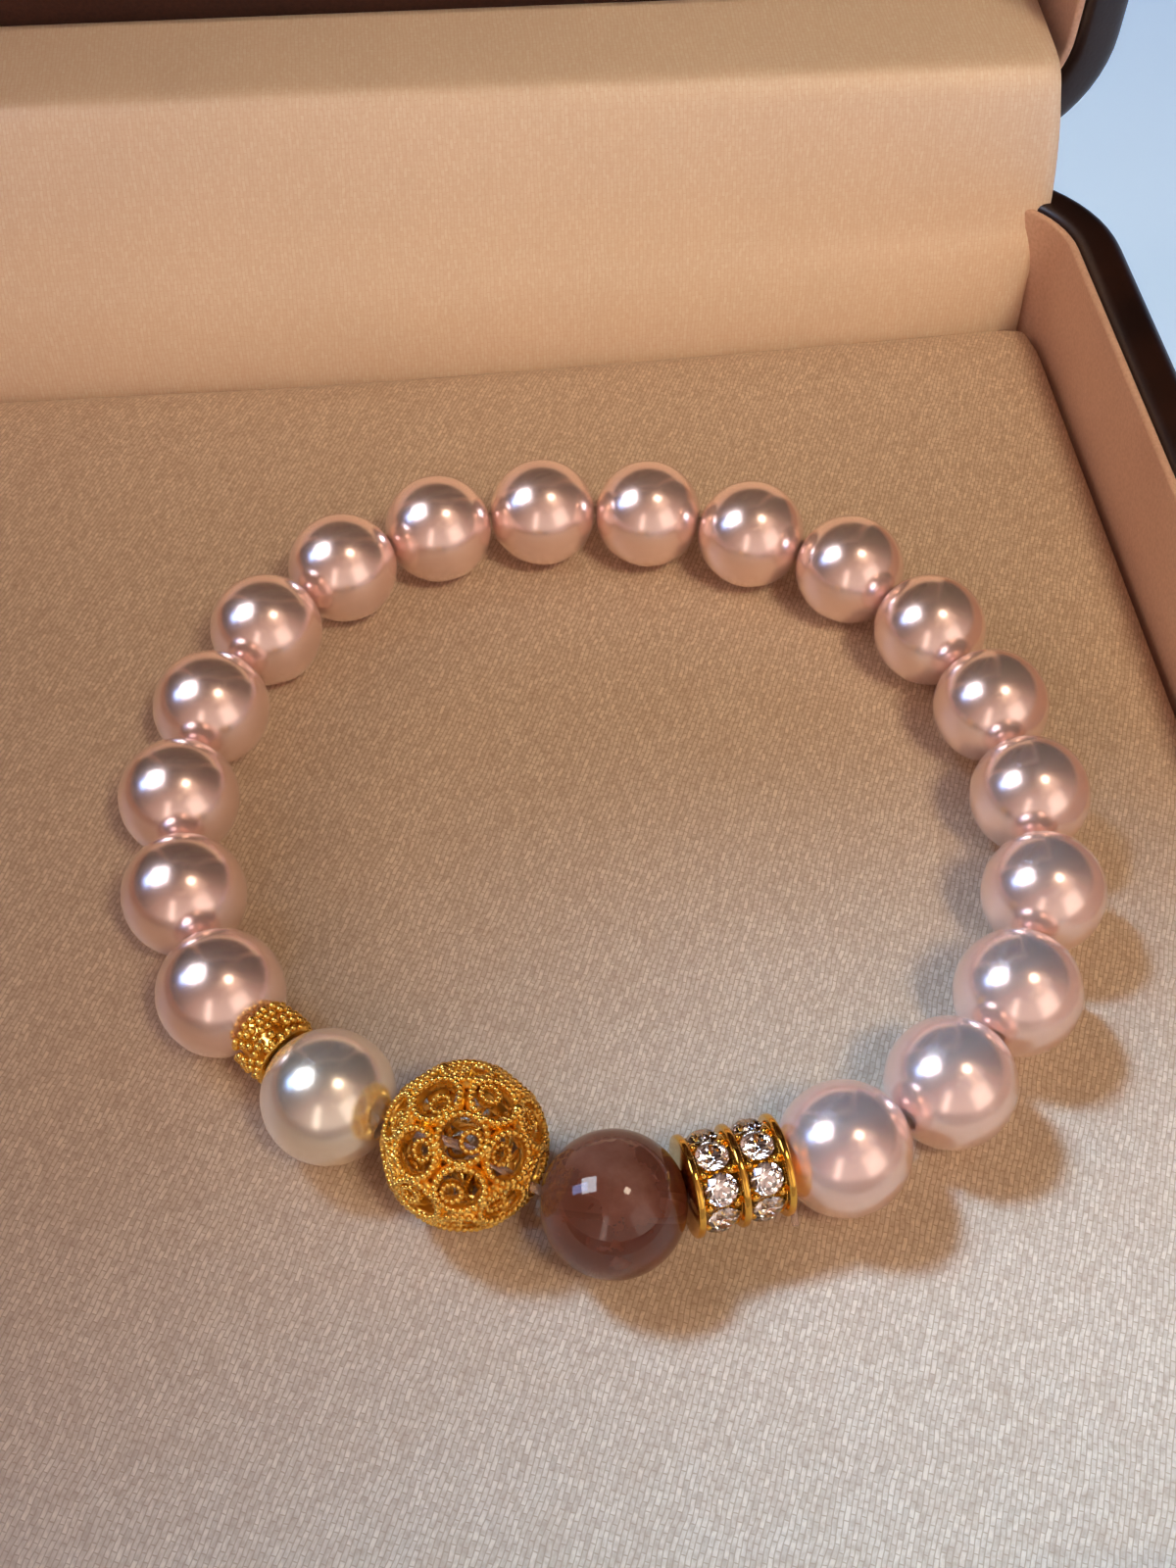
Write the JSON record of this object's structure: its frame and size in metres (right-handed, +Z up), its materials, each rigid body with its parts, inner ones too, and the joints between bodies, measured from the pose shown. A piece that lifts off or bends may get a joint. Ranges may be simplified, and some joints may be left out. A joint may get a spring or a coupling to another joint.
{
  "type": "beaded pearl bracelet in an open hinged gift box",
  "caption": "Elastic bracelet of pearls, a quartz bead, a filigree ball, a stone-set drum and a granule spacer, lying in a satin-lined box with a hinged lid.",
  "frame": {"origin": "middle of the tray's flat base, on the surface that the box stands on", "axes": "+Z up, +Y from the tray's front towards its hinge, +X to the right seen from the front"},
  "size_m": [0.122, 0.1418, 0.1451],
  "materials": {
    "pink_pearl": "pale rose pearl coat with a high lustre",
    "white_pearl": "cream-white pearl coat with a high lustre",
    "quartz": "polished transparent brown-mauve quartz with red specks",
    "filigree_gold": "rich yellow gold, granulated wire",
    "polished_gold": "polished yellow gold",
    "zircon": "clear brilliant-cut stone",
    "elastic": "clear elastic cord",
    "leatherette": "very dark brown fine-grained leatherette, satin gloss",
    "suede": "pinkish beige microsuede",
    "satin": "champagne satin with a fine diagonal weave",
    "lid_fabric": "dark brown matt fabric",
    "hinge_metal": "brassed steel, satin"
  },
  "bodies": {
    "tray": {"pink_pearl_01": "pink_pearl", "pink_pearl_02": "pink_pearl", "pink_pearl_03": "pink_pearl", "pink_pearl_04": "pink_pearl", "pink_pearl_05": "pink_pearl", "pink_pearl_06": "pink_pearl", "pink_pearl_07": "pink_pearl", "pink_pearl_08": "pink_pearl", "pink_pearl_09": "pink_pearl", "pink_pearl_10": "pink_pearl", "pink_pearl_11": "pink_pearl", "pink_pearl_12": "pink_pearl", "pink_pearl_13": "pink_pearl", "pink_pearl_14": "pink_pearl", "pink_pearl_15": "pink_pearl", "pink_pearl_16": "pink_pearl", "pink_pearl_17": "pink_pearl", "pink_pearl_18": "pink_pearl", "zircon_01": "zircon", "zircon_02": "zircon", "zircon_03": "zircon", "zircon_04": "zircon", "zircon_05": "zircon", "zircon_06": "zircon", "zircon_07": "zircon", "zircon_08": "zircon", "zircon_09": "zircon", "zircon_10": "zircon", "zircon_11": "zircon", "zircon_12": "zircon", "zircon_13": "zircon", "zircon_14": "zircon", "zircon_15": "zircon", "zircon_16": "zircon", "white_pearl": "white_pearl", "quartz_bead": "quartz", "filigree_ball": "filigree_gold", "stone_drum": "polished_gold", "granule_spacer": "filigree_gold", "elastic_cord": "elastic", "cord_tail": "elastic", "tray_shell": "leatherette", "tray_lining": "suede", "satin_pad": "satin", "tray_flap": "satin", "hinge_leaf_tray": "hinge_metal", "hinge_pin": "hinge_metal"},
    "lid": {"lid_shell": "leatherette", "lid_lining": "suede", "lid_panel": "lid_fabric", "lid_flap": "satin", "hinge_leaf_lid": "hinge_metal"}
  },
  "joints": [
    {"name": "lid_hinge", "type": "hinge", "parent": "tray", "child": "lid", "pos_m": [0, 0.06065, 0.02225], "axis": [1, 0, 0], "range_deg": [0, 85]}
  ]
}
